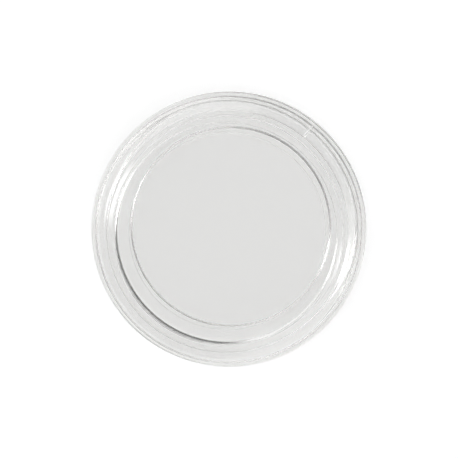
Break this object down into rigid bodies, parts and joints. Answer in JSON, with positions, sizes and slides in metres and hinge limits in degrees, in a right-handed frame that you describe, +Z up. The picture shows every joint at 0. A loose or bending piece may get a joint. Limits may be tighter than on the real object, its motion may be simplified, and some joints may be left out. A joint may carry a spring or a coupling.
{
  "type": "coin capsule",
  "caption": "Round clear plastic coin capsule: a lid shell slips over a base shell, and flat recessed windows close a round coin cell.",
  "frame": {"origin": "centre of the underside, on the plane that the closed capsule rests on", "axes": "+Z up along the capsule's axis, from the base to the lid; +X towards the three o'clock side; +Y towards twelve o'clock"},
  "size_m": [0.062, 0.062, 0.008],
  "materials": {
    "clear_plastic": "clear, polished"
  },
  "bodies": {
    "base": {"base_shell": "clear_plastic"},
    "lid": {"lid_shell": "clear_plastic"}
  },
  "joints": [
    {"name": "lid_lift", "type": "slide", "parent": "base", "child": "lid", "axis": [0, 0, 1], "range_m": [0, 0.02]}
  ]
}
